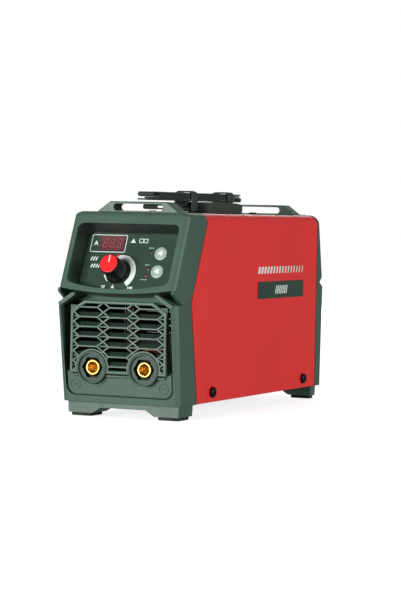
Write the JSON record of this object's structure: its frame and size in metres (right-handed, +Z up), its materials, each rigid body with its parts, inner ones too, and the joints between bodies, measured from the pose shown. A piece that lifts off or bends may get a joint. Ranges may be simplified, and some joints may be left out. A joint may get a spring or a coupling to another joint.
{
  "type": "stick welding inverter",
  "caption": "Portable stick welding inverter: red sheet cover between two moulded bezels, leaning control recess with knob and display, mesh grille, weld sockets and folded strap.",
  "frame": {"origin": "on the floor, under the middle of the whole machine's footprint", "axes": "+Z up, +X to the operator's right, -Y towards the front with the controls"},
  "size_m": [0.1264, 0.3656, 0.2054],
  "materials": {
    "bezel_plastic": "fine moulded texture, dark grey-green",
    "cover_paint": "red powder coat, satin",
    "pan_steel": "galvanised",
    "black_screws": "black oxide",
    "zinc_screws": "bright zinc",
    "rubber": "matt",
    "overlay_film": "satin printed film",
    "red_window": "tinted acrylic",
    "display_black": "matt",
    "circuit_board": "green solder mask",
    "component_black": "matt moulded",
    "shaft_aluminium": "turned",
    "knob_black": "satin",
    "knob_red": "satin",
    "button_silver": "pale satin",
    "led_red": "diffused lens",
    "socket_plastic": "glass-filled nylon",
    "brass": "turned",
    "copper_bar": "tinned copper",
    "aluminium": "extruded",
    "ferrite": "sintered",
    "winding_copper": "enamelled wire",
    "lead_insulation": "silicone insulation",
    "fan_plastic": "moulded",
    "switch_black": "moulded",
    "rocker_red": "moulded",
    "gland_nylon": "nylon",
    "seal_rubber": "matt",
    "strap_webbing": "woven polypropylene",
    "strap_rubber": "matt",
    "pad_fabric": "woven cover over foam"
  },
  "bodies": {
    "case": {"base_pan": "pan_steel", "bezel_screws": "zinc_screws", "board_screws": "zinc_screws", "board_standoffs": "brass", "bridge_rectifier": "component_black", "bulk_capacitors": "aluminium", "busbar_bolts": "zinc_screws", "control_board": "circuit_board", "control_board_screws": "zinc_screws", "control_leads": "lead_insulation", "control_overlay": "overlay_film", "cover": "cover_paint", "cover_side_screws": "black_screws", "cover_top_screws": "black_screws", "display_module": "display_black", "display_window": "red_window", "fan_frame": "fan_plastic", "fan_screws": "zinc_screws", "front_bezel": "bezel_plastic", "front_grille": "bezel_plastic", "gland_body": "gland_nylon", "gland_dome": "gland_nylon", "gland_locknut": "gland_nylon", "gland_seal": "seal_rubber", "ground_screw": "zinc_screws", "heatsink_left": "aluminium", "heatsink_right": "aluminium", "indicator_leds": "led_red", "inrush_relay": "component_black", "main_board": "circuit_board", "mains_leads": "lead_insulation", "output_busbars": "copper_bar", "output_choke": "ferrite", "output_diodes": "component_black", "pot_nut": "zinc_screws", "potentiometer": "component_black", "power_transistors": "component_black", "rear_bezel": "bezel_plastic", "rubber_feet": "rubber", "shoulder_pad": "pad_fabric", "side_badges": "overlay_film", "socket_minus_contact": "brass", "socket_minus_housing": "socket_plastic", "socket_nuts": "socket_plastic", "socket_plus_contact": "brass", "socket_plus_housing": "socket_plastic", "strap_keeper_front": "strap_rubber", "strap_keeper_rear": "strap_rubber", "strap_webbing": "strap_webbing", "switch_body": "switch_black", "tact_switches": "component_black", "transformer_core": "ferrite", "transformer_winding": "winding_copper"},
    "knob": {"pot_shaft": "shaft_aluminium", "knob_body": "knob_black", "knob_cap": "knob_red"},
    "button_upper": {"button_upper": "button_silver"},
    "button_lower": {"button_lower": "button_silver"},
    "rocker": {"switch_rocker": "rocker_red"},
    "fan": {"fan_rotor": "fan_plastic"}
  },
  "joints": [
    {"name": "knob_turn", "type": "hinge", "parent": "case", "child": "knob", "pos_m": [-0.0112, -0.15323, 0.13014], "axis": [0, 0.9178, -0.3971], "range_deg": [-135, 135]},
    {"name": "button_upper_press", "type": "slide", "parent": "case", "child": "button_upper", "axis": [0, 0.9178, -0.3971], "range_m": [0, 0.0006], "stiffness_N_per_m": 800, "springref_m": -0.0015},
    {"name": "button_lower_press", "type": "slide", "parent": "case", "child": "button_lower", "axis": [0, 0.9178, -0.3971], "range_m": [0, 0.0006], "stiffness_N_per_m": 800, "springref_m": -0.0015},
    {"name": "switch_rock", "type": "hinge", "parent": "case", "child": "rocker", "pos_m": [-0.022, 0.14876, 0.152], "axis": [1, 0, 0], "range_deg": [0, 24]},
    {"name": "fan_spin", "type": "hinge", "parent": "case", "child": "fan", "pos_m": [0, 0.14526, 0.063], "axis": [0, 1, 0], "continuous": true}
  ]
}
